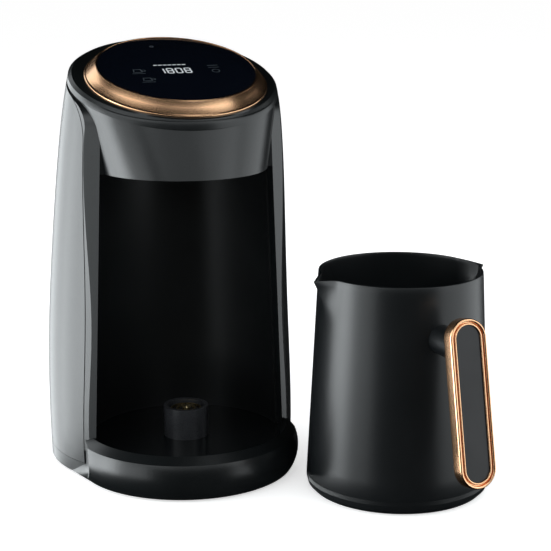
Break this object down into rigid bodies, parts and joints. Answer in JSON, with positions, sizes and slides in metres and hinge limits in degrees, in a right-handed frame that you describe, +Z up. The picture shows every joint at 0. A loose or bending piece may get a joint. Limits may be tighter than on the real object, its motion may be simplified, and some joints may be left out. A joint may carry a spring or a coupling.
{
  "type": "electric turkish coffee maker",
  "caption": "Cordless electric coffee pot with two spouts and a leaning handle, beside its tall base tower with a drip-tray bay, connector post and tilted touch panel.",
  "frame": {"origin": "on the axis of the tower's connector post, at the level of the feet", "axes": "+Z up along the connector post, +X to the viewer's right, -Y towards the front of the bay"},
  "size_m": [0.2418, 0.2818, 0.259],
  "materials": {
    "body_coating": "satin black coating with a fine grain",
    "pillar_coating": "satin black coating with a fine grain",
    "dark_plastic": "fine matt black",
    "tray_plastic": "smooth black",
    "base_plastic": "moulded black",
    "foot_rubber": "matt",
    "screw_steel": "plated",
    "connector_plastic": "satin black",
    "core_plastic": "moulded dark grey",
    "contact_brass": "plated contact",
    "sensor_glass": "infrared-clear black",
    "board_parts": "moulded component case",
    "copper_trim": "polished rose copper plating",
    "panel_glass": "polished black",
    "board_laminate": "green laminate",
    "terminal_plastic": "moulded blue",
    "ribbon_plastic": "grey ribbon",
    "pot_coating": "satin black non-stick coating",
    "plate_aluminium": "brushed",
    "element_steel": "drawn tube",
    "seal_rubber": "silicone",
    "inlay_plastic": "satin black"
  },
  "bodies": {
    "tower": {"base_shell": "body_coating", "hood": "body_coating", "housing": "pillar_coating", "left_side_panel": "body_coating", "right_side_panel": "body_coating", "rear_cover": "body_coating", "cavity_liner": "dark_plastic", "tray_floor": "tray_plastic", "bottom_cover": "base_plastic", "foot_ring": "foot_rubber", "rear_feet": "foot_rubber", "cover_screws": "screw_steel", "connector_boss": "connector_plastic", "connector_core": "core_plastic", "live_ring": "contact_brass", "neutral_ring": "contact_brass", "earth_pin": "contact_brass", "hood_floor": "dark_plastic", "sensor_window": "sensor_glass", "sensor_unit": "board_parts", "trim_ring": "copper_trim", "control_glass": "panel_glass", "display_module": "board_parts", "touch_board": "board_laminate", "buzzer": "board_parts", "power_board": "board_laminate", "relay": "board_parts", "transformer": "board_parts", "terminal_block": "terminal_plastic", "board_screws": "screw_steel", "ribbon_cable": "ribbon_plastic", "cord_gland": "foot_rubber"},
    "pot": {"jug": "pot_coating", "base_cup": "pot_coating", "pot_socket": "connector_plastic", "socket_contacts": "contact_brass", "heating_plate": "plate_aluminium", "heating_element": "element_steel", "thermostat": "element_steel", "seal_ring": "seal_rubber", "base_cup_screws": "screw_steel", "handle_stub": "pot_coating", "handle_frame": "copper_trim", "handle_core": "dark_plastic", "handle_inlay": "inlay_plastic", "handle_screw": "screw_steel"}
  },
  "joints": [
    {"name": "pot_lift", "type": "slide", "parent": "tower", "child": "pot", "axis": [0, 0, 1], "range_m": [0, 0.15]}
  ]
}
